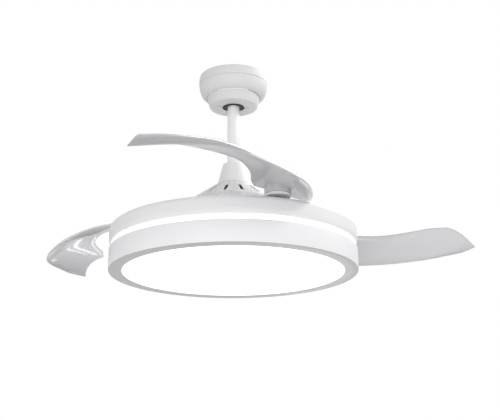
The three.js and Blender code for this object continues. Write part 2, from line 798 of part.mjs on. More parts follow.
// A closed shell between the upper face lowered by one offset and by another.
function bladeShell(upper, lower, rows = 16, columns = 6) {
  const positions = [];
  const corners = [];
  for (const offset of [upper, lower]) {
    for (let i = 0; i <= rows; i++) {
      for (let j = 0; j <= columns; j++) {
        const [along, across] = [i / rows, (j / columns) ** 1.25];
        positions.push(...offset(bladePoint(along, across), along, across).toArray());
      }
    }
  }
  const at = (side, i, j) => (side * (rows + 1) + i) * (columns + 1) + j;
  const quad = (a, b, c, d) => corners.push(a, b, c, a, c, d);
  for (let i = 0; i < rows; i++) {
    for (let j = 0; j < columns; j++) {
      quad(at(0, i, j), at(0, i, j + 1), at(0, i + 1, j + 1), at(0, i + 1, j));
      quad(at(1, i, j), at(1, i + 1, j), at(1, i + 1, j + 1), at(1, i, j + 1));
    }
    quad(at(0, i, 0), at(0, i + 1, 0), at(1, i + 1, 0), at(1, i, 0));
    quad(at(0, i, columns), at(1, i, columns), at(1, i + 1, columns), at(0, i + 1, columns));
  }
  for (let j = 0; j < columns; j++) {
    quad(at(0, 0, j), at(1, 0, j), at(1, 0, j + 1), at(0, 0, j + 1));
    quad(at(0, rows, j), at(0, rows, j + 1), at(1, rows, j + 1), at(1, rows, j));
  }
  const geometry = new THREE.BufferGeometry();
  geometry.setAttribute("position", new THREE.Float32BufferAttribute(positions, 3));
  geometry.setIndex(corners);
  return solid(geometry);
}

const inwards = (depth) => (point, along, across) =>
  point.addScaledVector(bladeNormal(along, across), -depth);
const downwards = (depth) => (point) => point.setZ(point.z - depth);

function blade() {
  const pivot = polar(pivotAt, PIVOT_TURN);
  const sheet = bladeShell(inwards(0), inwards(BLADE_T));
  const underSheet = bladeShell(downwards(BLADE_T / 2), downwards(bossR));
  const skirt = tube(bossR, bossR - BOSS_WALL, linkLow, padTop);
  const window = slice(
    2 * bossR, linkLow - 1, linkTop + 2 * GAP + DISC_T,
    PIVOT_TURN + WINDOW_START, PIVOT_TURN + WINDOW_END,
  );
  const boss = joined([
    skirt.subtract(window),
    cylinder(BOSS_TUBE_R, linkLow, padTop, MEDIUM),
    moved(cylinder(CRANK_PIN_R, linkLow, discLow + 1), crankAt(PIVOT_TURN)),
    moved(cylinder(CRANK_BOSS_R, discLow, padTop), crankAt(PIVOT_TURN)),
  ]);
  const pad = cylinder(PAD_R, padTop - BLADE_T - 4, padTop, MEDIUM);
  const bore = cylinder(postHole, linkLow - 1, padTop + 1);
  return sheet
    .add(moved(boss, pivot).intersect(underSheet))
    .add(moved(pad, pivot))
    .subtract(moved(bore, pivot));
}

// ---------------------------------------------------------------- light drum

const shelfIn = DRUM_R - RING_WALL - SHELF_W;
const trayLow = RING_H + GAP;
const trayTop = trayLow + TRAY_T;
const trayR = shelfIn + TRAY_LAP;
const openingR = DRUM_R - RIM_WIDTH;

// The side of the housing rises into a quarter ellipse, and the top is sunk for the carrier.
function upperHousing() {
  const wall = (inset) => steps(5, (share) => {
    const angle = (share * Math.PI) / 2;
    return [
      sideR - SHOULDER_W + (SHOULDER_W - inset) * Math.cos(angle),
      housingLow + (housingTop - housingLow - inset) * Math.sin(angle),
    ];
  });
  return turned([
    ...wall(0),
    [recessR + 2, housingTop],
    [recessR, housingTop - 2],
    [recessR, recessFloor],
    [RECESS_HOLE_R, recessFloor],
    [RECESS_HOLE_R, recessUnder],
    [recessR + HOUSING_T, recessUnder],
    [recessR + HOUSING_T, housingTop - 2 - HOUSING_T / 2],
    ...wall(HOUSING_T).reverse(),
  ], FINE);
}

const lightBand = () => tube(sideR, sideR - BAND_W, bandLow, bandTop, FINE);

function lowerRing() {
  const inner = DRUM_R - RING_WALL;
  return turned([
    [openingR, 0],
    [DRUM_R - 1, 0],
    [DRUM_R, 1],
    [DRUM_R, RING_H],
    [shelfIn, RING_H],
    [shelfIn, RING_H - SHELF_T],
    [inner, RING_H - SHELF_T],
    [inner, RIM_T],
    [openingR, RIM_T],
  ], FINE);
}

const diffuserSeat = RIM_T + GAP;

function diffuser() {
  const face = openingR - GAP;
  return turned([
    [0, GAP],
    [face, GAP],
    [face, diffuserSeat],
    [openingR + DIFFUSER_LAP, diffuserSeat],
    [openingR + DIFFUSER_LAP, diffuserSeat + DIFFUSER_T],
    [0, diffuserSeat + DIFFUSER_T],
  ], FINE);
}

function diffuserClip() {
  const low = diffuserSeat + DIFFUSER_T + GAP;
  const outer = DRUM_R - RING_WALL - GAP;
  const inner = openingR + DIFFUSER_LAP / 2;
  return joined([
    box(outer - inner, CLIP_W, low, low + CLIP_T, [(outer + inner) / 2 - CLIP_T / 2, 0]),
    box(CLIP_T, CLIP_W, low, low + CLIP_H, [outer - CLIP_T, 0]),
  ]);
}

// Three legs of the casting reach down to the tray and end in studs through it.
function lightFrame() {
  const leg = cylinder(FRAME_LEG_R, trayTop + GAP, frameLow + 1);
  const stud = cylinder(FRAME_LEG_R / 2, trayLow - 2, trayTop + 1);
  const body = joined([
    cylinder(FRAME_R, frameLow, frameTop, ROUND),
    cylinder(FRAME_HUB_R, frameLow - FRAME_HUB_H, frameLow + 1, ROUND),
    ...legPlaces.map((at) => moved(leg.add(stud), at)),
  ]);
  return body.subtract(cylinder(shaftHole, frameLow - FRAME_HUB_H - 1, frameTop + 1, ROUND));
}

const legPlaces = round(3, (turn) => polar(FRAME_LEG_AT, turn));

function shaftNut() {
  return cylinder(NUT_R, nutLow, nutTop, 6).subtract(cylinder(shaftHole, nutLow - 1, nutTop + 1, ROUND));
}

function ledTray() {
  const hole = cylinder(FRAME_LEG_R / 2 + GAP, trayLow - 1, trayTop + 1);
  return cutBy(tube(trayR, TRAY_HOLE_R, trayLow, trayTop, FINE), legPlaces.map((at) => moved(hole, at)));
}

const ledBoard = () => tube(BOARD_OUT_R, BOARD_IN_R, trayLow - GAP - BOARD_T, trayLow - GAP);

function bandLedStrip() {
  const outer = trayR - 1;
  return tube(outer, outer - STRIP_T, trayTop + GAP, trayTop + GAP + STRIP_H, FINE);
}

function electricBox([length, width, height], turn) {
  const low = trayTop + GAP;
  return moved(box(width, length, low, low + height), [ELECTRIC_AT, 0]).rotate([0, 0, turn]);
}

// ---------------------------------------------------------------- finishes

const finish = (color, roughness, metalness) => new THREE.MeshStandardMaterial({ color, roughness, metalness });
const FINISHES = {
  whitePaint: () => finish(0xf0f0f2, 0.35, 0),
  satinRing: () => finish(0xe9e9ef, 0.3, 0.2),
  whitePlastic: () => finish(0xededee, 0.4, 0),
  bladePlastic: () => finish(0xc9cacf, 0.15, 0),
  glowing: () => finish(0xffffff, 0.3, 0),
  blackRubber: () => finish(0x1a1a1c, 0.6, 0),
  steel: () => finish(0xb8bbc0, 0.35, 1),
  zinc: () => finish(0x9ea2a8, 0.45, 1),
  castMetal: () => finish(0xa9acb0, 0.5, 0.9),
  laminations: () => finish(0x6d7075, 0.5, 0.9),
  copper: () => finish(0xb5693a, 0.35, 1),
  magnet: () => finish(0x3a3b3e, 0.6, 0.3),
  board: () => finish(0xf4f4f2, 0.5, 0),
};

// ---------------------------------------------------------------- assembly

const fan = new THREE.Group();
const hung = new THREE.Group(); // all that is measured up from the drum's underside
hung.position.z = -DROP;
fan.add(hung);

function place(parent, name, body, material, turn = 0) {
  const mesh = new THREE.Mesh(geometryOf(body), FINISHES[material]());
  mesh.name = name;
  mesh.rotation.z = rad(turn);
  parent.add(mesh);
  return mesh;
}

// The same piece once per blade, numbered from one.
function placePerBlade(name, body, material) {
  round(BLADES, (turn) => place(hung, `${name}_${Math.round((turn * BLADES) / 360) + 1}`, body, material, turn));
}

place(fan, "hanging_bracket", hangingBracket(), "zinc");
[-CEILING_SCREW_AT, CEILING_SCREW_AT].forEach((x, i) => {
  place(fan, `ceiling_screw_${i + 1}`, ceilingScrew(), "steel").position.x = x;
});
place(fan, "canopy_band", canopyBand(), "whitePaint");
place(fan, "canopy_bowl", canopyBowl(), "whitePaint");
place(fan, "canopy_lower_ring", canopyLowerRing(), "whitePaint");
canopyScrewPlaces.forEach((at, i) => place(fan, `canopy_screw_${i + 1}`, canopyScrew(at), "steel"));

place(hung, "hanger_ball", hangerBall(), "blackRubber");
place(hung, "ball_cross_pin", ballCrossPin(), "steel");
place(hung, "downrod", downrod(), "whitePaint");
place(hung, "motor_yoke", motorYoke(), "castMetal");
place(hung, "clevis_pin", clevisPin(), "steel");
place(hung, "cotter_pin", cotterPin(), "steel");
place(hung, "set_screw", setScrew(), "steel");
place(hung, "coupling_cover", couplingCover(), "whitePaint");
place(hung, "vented_cover", ventedCover(), "whitePaint");

place(hung, "motor_shaft", motorShaft(), "steel");
place(hung, "stator_core", statorCore(), "laminations");
place(hung, "stator_winding", statorWinding(), "copper");
place(hung, "magnet_ring", magnetRing(), "magnet");
place(hung, "rotor_lower_shell", rotorLower(), "castMetal");
place(hung, "rotor_upper_shell", rotorUpper(), "whitePaint");
place(hung, "lower_bearing", bearing(rotorFloor + GAP), "steel");
place(hung, "upper_bearing", bearing(upperBearingLow), "steel");

place(hung, "blade_carrier", bladeCarrier(), "whitePaint");
standoffPlaces.forEach((at, i) => place(hung, `carrier_screw_${i + 1}`, carrierScrew(at), "steel"));
place(hung, "sync_disc", syncDisc(), "zinc");
placePerBlade("link_rod", linkRod(), "zinc");
placePerBlade("pivot_post", pivotPost(), "steel");
placePerBlade("pivot_cap", pivotCap(), "whitePlastic");
placePerBlade("return_spring", returnSpring(), "steel");
placePerBlade("blade", blade(), "bladePlastic");

place(hung, "upper_housing", upperHousing(), "whitePaint");
place(hung, "light_band", lightBand(), "glowing");
place(hung, "lower_ring", lowerRing(), "satinRing");
place(hung, "diffuser", diffuser(), "glowing");
round(CLIPS, (turn) => place(
  hung, `diffuser_clip_${Math.round((turn * CLIPS) / 360) + 1}`, diffuserClip(), "zinc", turn,
));
place(hung, "light_frame", lightFrame(), "castMetal");
place(hung, "shaft_nut", shaftNut(), "steel");
place(hung, "led_tray", ledTray(), "zinc");
place(hung, "led_board", ledBoard(), "board");
place(hung, "band_led_strip", bandLedStrip(), "board");
place(hung, "led_driver", electricBox(DRIVER, DRIVER_TURN), "whitePlastic");
place(hung, "remote_receiver", electricBox(RECEIVER, RECEIVER_TURN), "whitePlastic");

export default fan;
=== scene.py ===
# Ceiling fan with three folding blades over a round light drum.
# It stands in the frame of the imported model: the ceiling is at z = 0 and the fan hangs below it.
# The pieces are given in millimetres, with heights that count up from the drum's underside.
# Finishes, camera and lights are given in metres.
import math

import bpy
from mathutils import Matrix, Vector


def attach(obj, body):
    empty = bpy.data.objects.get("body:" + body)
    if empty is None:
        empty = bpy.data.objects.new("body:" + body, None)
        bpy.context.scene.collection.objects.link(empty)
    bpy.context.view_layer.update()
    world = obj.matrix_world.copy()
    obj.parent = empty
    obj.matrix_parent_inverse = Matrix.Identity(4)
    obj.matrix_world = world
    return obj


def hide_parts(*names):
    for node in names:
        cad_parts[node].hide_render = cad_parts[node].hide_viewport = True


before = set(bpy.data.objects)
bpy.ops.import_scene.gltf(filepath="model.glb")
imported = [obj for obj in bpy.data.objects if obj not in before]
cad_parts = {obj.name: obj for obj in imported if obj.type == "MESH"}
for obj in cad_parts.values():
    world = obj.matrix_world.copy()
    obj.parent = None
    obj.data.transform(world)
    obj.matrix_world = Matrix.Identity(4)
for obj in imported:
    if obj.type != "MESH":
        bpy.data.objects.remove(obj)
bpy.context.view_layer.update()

MM = 0.001
DROP = 427  # ceiling down to the drum's underside
FINE = 128  # steps round a large turned piece
DRUM_STEPS = 192  # steps round the pieces of the light drum
BALL_AT = 377  # height of the hanger ball's centre
BALL_R = 26
YOKE_PIN_AT = 206  # height of the pin that holds the rod in its yoke
SLOTS = 15
SLOT_TURN = -77  # where the first slot stands, in degrees from +X
BLADES = 3
PIVOT_AT = 214  # distance of the blades' pivots from the fan's axis
PIVOT_TURN = -66.6  # where the first pivot stands, in degrees from +X
CARRIER_TOP = 103
PAD_TOP = 123  # top of the round pad on a blade's root
BORE_R = 4.3  # bore for a pivot post
BLADE_T = 2.4  # thickness of a blade


def polar(radius, degrees):
    return radius * math.cos(math.radians(degrees)), radius * math.sin(math.radians(degrees))


# ---------------------------------------------------------------- modelling

def alone(piece):
    """Only this piece is selected and active."""
    bpy.ops.object.select_all(action="DESELECT")
    piece.select_set(True)
    bpy.context.view_layer.objects.active = piece


def primitive(add, name, **settings):
    """A primitive with a name of its own and its place applied."""
    bpy.ops.object.select_all(action="DESELECT")
    add(**settings)
    piece = bpy.context.object
    piece.name = piece.data.name = name
    bpy.ops.object.transform_apply(location=True, rotation=True, scale=True)
    return piece


def opened(piece):
    """The piece is open for editing with all of it selected."""
    alone(piece)
    bpy.ops.object.mode_set(mode="EDIT")
    bpy.ops.mesh.select_all(action="SELECT")


def sealed():
    """All faces of the open piece point outwards and its editing ends."""
    bpy.ops.mesh.select_all(action="SELECT")
    bpy.ops.mesh.normals_make_consistent(inside=False)
    bpy.ops.object.mode_set(mode="OBJECT")


def extruded(piece, shift, height):
    """The piece's faces, moved along Z and extruded into a solid."""
    opened(piece)
    bpy.ops.transform.translate(value=(0, 0, shift * MM))
    bpy.ops.mesh.extrude_region_move(TRANSFORM_OT_translate={"value": (0, 0, height * MM)})
    sealed()


def filled(piece):
    """The piece's outline gets a face."""
    opened(piece)
    bpy.ops.mesh.edge_face_add()
    bpy.ops.object.mode_set(mode="OBJECT")


def done(piece, angle=30):
    """The piece is shaded smooth, with sharp edges above the angle."""
    alone(piece)
    bpy.ops.object.shade_smooth_by_angle(angle=math.radians(angle))
    return piece


def applied(piece, kind, **settings):
    """A modifier with these settings, applied."""
    alone(piece)
    modifier = piece.modifiers.new(kind.title(), kind)
    for key, value in settings.items():
        setattr(modifier, key, value)
    bpy.ops.object.modifier_apply(modifier=modifier.name)


def rounded(piece, width, segments=2, angle=35):
    applied(piece, "BEVEL", width=width * MM, segments=segments, limit_method="ANGLE",
            angle_limit=math.radians(angle), use_clamp_overlap=True, harden_normals=False)


def cut(piece, cutter, operation="DIFFERENCE"):
    """One boolean with a cutter that is used up."""
    applied(piece, "BOOLEAN", operation=operation, object=cutter, solver="EXACT")
    bpy.data.objects.remove(cutter)


def turned(name, profile, closed=True, steps=FINE, at=(0, 0), low=-DROP):
    """A profile of (radius, height) points, extruded point by point and spun about Z.

    Heights count up from low, which is measured from the ceiling.
    """
    piece = primitive(bpy.ops.mesh.primitive_plane_add, name, size=MM)
    opened(piece)
    bpy.ops.mesh.merge(type="CENTER")
    bpy.ops.transform.translate(value=(profile[0][0] * MM, 0, profile[0][1] * MM))
    for here, there in zip(profile, profile[1:]):
        step = ((there[0] - here[0]) * MM, 0, (there[1] - here[1]) * MM)
        bpy.ops.mesh.extrude_region_move(TRANSFORM_OT_translate={"value": step})
    if closed:
        back = ((profile[0][0] - profile[-1][0]) * MM, 0, (profile[0][1] - profile[-1][1]) * MM)
        bpy.ops.mesh.extrude_region_move(TRANSFORM_OT_translate={"value": back})
    bpy.ops.mesh.select_all(action="SELECT")
    bpy.ops.mesh.remove_doubles(threshold=1e-6)
    bpy.ops.mesh.spin(steps=steps, angle=2 * math.pi, center=(0, 0, 0), axis=(0, 0, 1))
    bpy.ops.mesh.select_all(action="SELECT")
    bpy.ops.mesh.remove_doubles(threshold=2e-6)
    sealed()
    piece.data.transform(Matrix.Translation((at[0] * MM, at[1] * MM, low * MM)))
    return piece


def copied(piece, name, degrees):
    """The same piece with its own mesh, turned about the fan's axis."""
    copy = piece.copy()
    copy.data = piece.data.copy()
    copy.name = copy.data.name = name
    copy.data.transform(Matrix.Rotation(math.radians(degrees), 4, "Z"))
    bpy.context.collection.objects.link(copy)
    return copy


def arc(count, at):
    """The points that at gives for even shares from 0 to 1."""
    return [at(i / count) for i in range(count + 1)]


def quarter(count, centre, width, start, height, end=90):
    """Points of a quarter ellipse, from its side at the start to its end angle."""
    return arc(count, lambda share: (
        centre + width * math.cos(math.radians(share * end)),
        start + height * math.sin(math.radians(share * end)),
    ))


def slot_prism(name, inner, outer, width, low, high):
    """A bar with round ends along X, as a cutter."""
    piece = primitive(bpy.ops.mesh.primitive_circle_add, name, vertices=24, radius=width / 2 * MM,
                      fill_type="NOTHING")
    for vertex in piece.data.vertices:
        vertex.co.x += (outer if vertex.co.x > 1e-6 else inner) * MM
    filled(piece)
    extruded(piece, low - DROP, high - low)
    return piece


def merged(pieces):
    """All the pieces joined into the first."""
    alone(pieces[0])
    for piece in pieces[1:]:
        piece.select_set(True)
    bpy.ops.object.join()
    return pieces[0]


# ---------------------------------------------------------------- finishes

LEAST_THROUGH, MOST_THROUGH = 0.27, 0.42  # share of light that a blade lets through
BLADE_THICK_TO = 0.3  # distance from the axis up to which it lets the least through
BLADE_THINNING = 0.12  # distance over which that rises to the most
PAINTED_SHADE_LEVEL = -0.4264  # just above the drum's underside; below it the ring's colour is painted shade
DIFFUSER_RIM = 0.219  # distance from the axis where the diffuser's light gets warmer
NO_RIM = 0.9  # further out than any piece


class Reading:
    """A number that changes over a surface, for use in plain arithmetic."""

    def __init__(self, finish, socket):
        self.finish = finish
        self.socket = socket

    def worked(self, operation, second=0.0):
        """What a calculation makes of this number and a second one."""
        node = self.finish.node("ShaderNodeMath", {"operation": operation}, {0: self, 1: second})
        return Reading(self.finish, node.outputs[0])

    def __add__(self, other):
        return self.worked("ADD", other)

    def __sub__(self, other):
        return self.worked("SUBTRACT", other)

    def __mul__(self, other):
        return self.worked("MULTIPLY", other)

    def __truediv__(self, other):
        return self.worked("DIVIDE", other)

    def __pow__(self, other):
        return self.worked("POWER", other)

    def __lt__(self, other):
        return self.worked("LESS_THAN", other)


class Finish:
    """A material round one Principled shader, in Object coordinates."""

    def __init__(self, name, colour, roughness, **sockets):
        self.material = bpy.data.materials.new(name)
        self.material.use_nodes = True
        self.nodes = self.material.node_tree.nodes
        self.links = self.material.node_tree.links
        self.shader = self.nodes["Principled BSDF"]
        self.colour = colour
        self.feed(self.shader, {"Base Color": (*colour, 1), "Roughness": roughness, **sockets})
        self.place = self.node("ShaderNodeTexCoord").outputs["Object"]

    def feed(self, node, values):
        """Inputs of a node are linked to readings and sockets, or set to plain values."""
        for key, value in values.items():
            value = value.socket if isinstance(value, Reading) else value
            if isinstance(value, bpy.types.NodeSocket):
                self.links.new(value, node.inputs[key])
            else:
                node.inputs[key].default_value = value

    def node(self, kind, settings=None, values=None):
        """A new node with these settings and these inputs."""
        made = self.nodes.new(kind)
        for key, value in (settings or {}).items():
            setattr(made, key, value)
        self.feed(made, values or {})
        return made

    def stretched(self, scale):
        """Object coordinates stretched by a factor per axis."""
        return self.node("ShaderNodeMapping", None, {
            "Vector": self.place, "Scale": scale}).outputs[0]

    def noise(self, scale, detail=2.0, roughness=0.5, vector=None):
        node = self.node("ShaderNodeTexNoise", None, {
            "Vector": vector or self.place, "Scale": scale, "Detail": detail,
            "Roughness": roughness})
        return Reading(self, node.outputs["Fac"])

    def axis(self, name):
        node = self.node("ShaderNodeSeparateXYZ", None, {0: self.place})
        return Reading(self, node.outputs[name])

    def from_axis(self):
        """Distance from the fan's axis."""
        across, deep = self.axis("X"), self.axis("Y")
        return (across * across + deep * deep) ** 0.5

    def tint(self, amount, one, other):
        """Two colours mixed by an amount."""
        node = self.node("ShaderNodeMix", {"data_type": "RGBA"}, {
            0: amount, 6: (*one, 1), 7: (*other, 1)})
        return node.outputs[2]

    def clamped(self, reading):
        """A reading kept between 0 and 1."""
        return Reading(self, self.node("ShaderNodeClamp", None, {0: reading}).outputs[0])

    def relief(self, height, distance):
        node = self.node("ShaderNodeBump", None, {
            "Height": height, "Distance": distance, "Strength": 1.0})
        self.feed(self.shader, {"Normal": node.outputs[0]})

    def blended(self, share, other):
        """A share of another shader's light is mixed into the surface."""
        blend = self.node("ShaderNodeMixShader", None, {
            0: share, 1: self.shader.outputs[0], 2: other.outputs[0]})
        self.feed(self.nodes["Material Output"], {"Surface": blend.outputs[0]})

    def let_through(self, colour, thick, thin):
        """Light from the far side comes out on this one, more where the plastic is thin."""
        outward = self.clamped((self.from_axis() - BLADE_THICK_TO) / BLADE_THINNING)
        share = outward * (thin - thick) + thick
        far = self.node("ShaderNodeBsdfTranslucent", None, {"Color": (*colour, 1)})
        self.blended(share, far)

    def fine_grain(self, roughness):
        """The gloss and the relief of moulded plastic."""
        self.feed(self.shader, {"Roughness": self.noise(140.0) * 0.1 + (roughness - 0.05)})
        self.relief(self.noise(1900.0, 2.0), 0.00002)

    def mottled(self, spread=0.03, scale=9.0):
        """A slow drift of the colour, as on a moulded or sprayed surface."""
        light = tuple(min(1.0, c * (1 + spread)) for c in self.colour)
        dark = tuple(c * (1 - spread) for c in self.colour)
        self.feed(self.shader, {"Base Color": self.tint(self.noise(scale, 3.0), dark, light)})


def paint(name, colour, roughness, coat=0.0):
    """Sprayed paint: a fine orange peel and a slow drift in gloss."""
    made = Finish(name, colour, roughness, **{"Coat Weight": coat, "Coat Roughness": 0.12})
    made.mottled(0.015)
    made.feed(made.shader, {"Roughness": made.noise(60.0) * 0.12 + (roughness - 0.06)})
    made.relief(made.noise(520.0, 1.0), 0.00006)
    return made.material


def moulding(name, colour, roughness):
    """Moulded plastic: a very fine grain."""
    made = Finish(name, colour, roughness)
    made.mottled(0.012, 6.0)
    made.fine_grain(roughness)
    return made.material


def ring_plastic(name, side, under, level, roughness):
    """Moulded plastic with painted shade: darker below a level, where the rim faces down."""
    made = Finish(name, side, roughness)
    # The colour below the level is painted shade on the rim's underside.
    made.feed(made.shader, {"Base Color": made.tint(made.axis("Z") < level, side, under)})
    made.fine_grain(roughness)
    return made.material


def speckled(name, dark, light, roughness):
    """Textured powder coat with dark and light specks."""
    made = Finish(name, light, roughness)
    grain = made.noise(640.0, 4.0, 0.75)
    coarse = made.noise(90.0, 2.0)
    specks = (grain - 0.42) * 4.5 + (coarse - 0.5)
    made.feed(made.shader, {"Base Color": made.tint(specks, dark, light)})
    made.relief(grain, 0.0003)
    return made.material


def cast(name, colour, roughness):
    """Cast metal with a coarse skin."""
    made = Finish(name, colour, roughness, Metallic=1.0)
    made.mottled(0.08, 40.0)
    made.feed(made.shader, {"Roughness": made.noise(220.0, 3.0) * 0.3 + (roughness - 0.15)})
    made.relief(made.noise(420.0, 4.0, 0.7), 0.00025)
    return made.material


def brushed(name, colour, roughness):
    """Rolled or plated steel with fine lines."""
    made = Finish(name, colour, roughness, Metallic=1.0)
    lines = made.noise(60.0, 4.0, 0.6, made.stretched((1.0, 30.0, 30.0)))
    made.mottled(0.05, 30.0)
    made.feed(made.shader, {"Roughness": lines * 0.25 + (roughness - 0.12)})
    made.relief(lines, 0.00003)
    return made.material


def plated(name, colour, roughness):
    """Zinc plate with its crystal patches."""
    made = Finish(name, colour, roughness, Metallic=1.0)
    cells = made.node("ShaderNodeTexVoronoi", {"feature": "F1"}, {
        "Vector": made.place, "Scale": 90.0})
    patch = Reading(made, cells.outputs["Distance"])
    dark = tuple(c * 0.86 for c in colour)
    made.feed(made.shader, {
        "Base Color": made.tint(patch, dark, colour),
        "Roughness": patch * 0.2 + (roughness - 0.1),
    })
    return made.material


def stacked(name, colour, roughness, pitch):
    """Sheets stacked along Z, seen at their edges."""
    made = Finish(name, colour, roughness, Metallic=0.9)
    wave = (made.axis("Z") * (2 * math.pi / pitch)).worked("SINE")
    dark = tuple(c * 0.55 for c in colour)
    made.feed(made.shader, {"Base Color": made.tint(wave * 0.5 + 0.5, dark, colour)})
    made.relief(wave, 0.0001)
    return made.material


def wound(name, colour, roughness, pitch):
    """Enamelled wire laid side by side."""
    made = Finish(name, colour, roughness, Metallic=1.0)
    strands = (made.from_axis() + made.axis("Z") * 0.6) * (2 * math.pi / pitch)
    wave = strands.worked("SINE")
    dark = tuple(c * 0.35 for c in colour)
    made.feed(made.shader, {"Base Color": made.tint(wave * 0.5 + made.noise(30.0), dark, colour)})
    made.relief(wave, 0.0003)
    return made.material


def lamp_board(name, colour, dot):
    """White board with rings of small yellow lamps."""
    pitch = 0.024  # between the rings
    lamps = 48  # in each ring
    made = Finish(name, colour, 0.4)
    from_ring = (made.from_axis() / pitch).worked("PINGPONG", 0.5)
    turn = made.axis("Y").worked("ARCTAN2", made.axis("X"))
    from_spoke = (turn * (lamps / (2 * math.pi))).worked("PINGPONG", 0.5)
    lamp = (from_ring < 0.09) * (from_spoke < 0.13)
    made.feed(made.shader, {
        "Base Color": made.tint(lamp, colour, dot),
        "Roughness": lamp * -0.2 + 0.45,
    })
    made.relief(lamp, 0.0008)
    return made.material


def glowing(name, rim, strength):
    """Opal plastic lit from inside, warmer towards its rim."""
    made = Finish(name, (0.9, 0.9, 0.9), 0.35)
    warm = (made.from_axis() - rim) * 60.0 + made.noise(8.0) * 0.2
    made.feed(made.shader, {
        "Emission Color": made.tint(made.clamped(warm), (1.0, 1.0, 1.0), (1.0, 0.9, 0.76)),
        "Emission Strength": strength,
        "Roughness": made.noise(200.0) * 0.1 + 0.3,
    })
    made.relief(made.noise(900.0, 1.0), 0.00003)
    return made.material


def blade_plastic(name, colour, alpha):
    """Glossy, slightly see-through moulding with faint flow lines."""
    made = Finish(name, colour, 0.12, **{"Coat Weight": 1.0, "Coat Roughness": 0.05, "IOR": 1.5})
    flow = made.noise(5.0, 3.0, 0.5, made.stretched((1.0, 1.0, 6.0)))
    cool = tuple(c * k for c, k in zip(colour, (0.95, 0.95, 0.99)))
    made.feed(made.shader, {
        "Base Color": made.tint(flow, cool, colour),
        "Alpha": flow * 0.08 + (alpha - 0.04),
        "Roughness": made.noise(90.0) * 0.05 + 0.09,
    })
    made.relief(made.noise(45.0, 2.0), 0.000025)
    made.let_through((0.95, 0.95, 0.96), LEAST_THROUGH, MOST_THROUGH)
    return made.material


def rubber(name, colour):
    """Dull rubber with a fine skin."""
    made = Finish(name, colour, 0.55)
    made.mottled(0.2, 60.0)
    made.feed(made.shader, {"Roughness": made.noise(300.0) * 0.2 + 0.45})
    made.relief(made.noise(1200.0, 2.0), 0.0001)
    return made.material


WHITE_PAINT = paint("white_paint", (0.84, 0.84, 0.85), 0.38, 0.2)
# A darker copy of the white paint for the canopy: painted shade.
CANOPY_SHADED_PAINT = paint("canopy_paint_painted_shade", (0.73, 0.73, 0.735), 0.45)
# The rotor's near-black paint is painted shade for the inside of the vented cover.
ROTOR_SHADE_PAINT = paint("rotor_painted_shade", (0.05, 0.05, 0.052), 0.5)
ROD_PAINT = paint("rod_paint", (0.88, 0.88, 0.885), 0.3, 0.3)
COVER_PLASTIC = moulding("coupling_cover_plastic", (0.82, 0.82, 0.825), 0.42)
SPECKLED = speckled("speckled_powder_coat", (0.58, 0.58, 0.58), (0.95, 0.95, 0.94), 0.55)
HOUSING = moulding("housing_plastic", (0.82, 0.82, 0.83), 0.4)
# The ring's second colour is painted shade for the rim's underside.
RING_WITH_PAINTED_SHADE = ring_plastic("ring_plastic", (0.86, 0.86, 0.875), (0.53, 0.527, 0.523), PAINTED_SHADE_LEVEL, 0.42)
BLADE = blade_plastic("blade_plastic", (0.34, 0.342, 0.354), 0.86)
# A lighter copy of the blade plastic for bosses and pads: partly their lighter, thicker look,
# partly painted light against the shade under the blade's root.
BOSS_PAINTED_LIGHTER = blade_plastic("blade_boss_plastic_painted_light", (0.74, 0.74, 0.75), 0.96)
DIFFUSER = glowing("diffuser_opal", DIFFUSER_RIM, 0.75)
BAND = glowing("band_opal", NO_RIM, 0.75)
RUBBER = rubber("ball_rubber", (0.02, 0.02, 0.022))
STEEL = brushed("bright_steel", (0.66, 0.67, 0.69), 0.32)
ZINC = plated("zinc_plate", (0.6, 0.61, 0.63), 0.4)
CAST = cast("cast_aluminium", (0.58, 0.59, 0.61), 0.5)
LAMINATIONS = stacked("laminations", (0.3, 0.31, 0.33), 0.45, 0.0008)
COPPER = wound("enamelled_copper", (0.66, 0.3, 0.13), 0.3, 0.0011)
MAGNET = cast("ferrite", (0.12, 0.12, 0.125), 0.7)
BOARD = lamp_board("lamp_board", (0.85, 0.85, 0.84), (0.8, 0.62, 0.16))
CASE = moulding("electronics_case", (0.75, 0.75, 0.74), 0.5)

# ---------------------------------------------------------------- canopy

def canopy():
    """Its three pieces, with heights that count up from the ceiling."""
    band = turned("canopy_top_band", [
        (69.7, -20.35), (71.9, -20.35), (72.7, -19.55), *quarter(4, 70, 2.7, -15.35, 15.05, 80),
        (69.9, -0.3), (68.5, -0.3), (68.9, -4), (70.2, -17),
    ], low=0)
    rounded(band, 0.3)
    bowl = turned("canopy_shell", [
        *quarter(22, 56.8, 15.1, -20.65, -27.35),
        *reversed(quarter(22, 55.3, 15.1, -20.65, -25.85)),
    ], low=0)
    rounded(bowl, 0.25)
    ring = turned("canopy_base_ring", [
        (23.3, -68.5), (48.2, -68.5), (49.5, -68.1), (50.2, -67.0), (55.8, -48.3), (54.3, -48.3),
        (48.7, -67.0), (23.3, -67.0),
    ], low=0)
    rounded(ring, 0.35)
    return done(band), done(bowl), done(ring)


# ---------------------------------------------------------------- ball, rod and covers

def hanger_ball():
    """A ball cut flat below and above its centre, with a bore for the rod."""
    bore, below, tall = 13.3, 18.6, 33.6
    ball = turned("hanging_ball", [
        (bore, BALL_AT - below),
        *arc(24, lambda share: (
            math.sqrt(BALL_R ** 2 - (share * tall - below) ** 2), BALL_AT + share * tall - below)),
        (bore, BALL_AT + tall - below),
    ], steps=96)
    rounded(ball, 0.5)
    return done(ball)


def rod():
    """The tube, with cross holes for the ball's pin and the yoke's."""
    tube = turned("hanging_rod", [(11.0, 198), (12.8, 198), (12.8, 395), (11.0, 395)], steps=64)
    rounded(tube, 0.4)
    for radius, height in ((3.3, BALL_AT), (2.8, YOKE_PIN_AT)):
        hole = primitive(bpy.ops.mesh.primitive_cylinder_add, "pin_hole", vertices=32,
                         radius=radius * MM, depth=80 * MM, location=(0, 0, (height - DROP) * MM),
                         rotation=(math.pi / 2, 0, 0))
        cut(tube, hole)
    return done(tube)


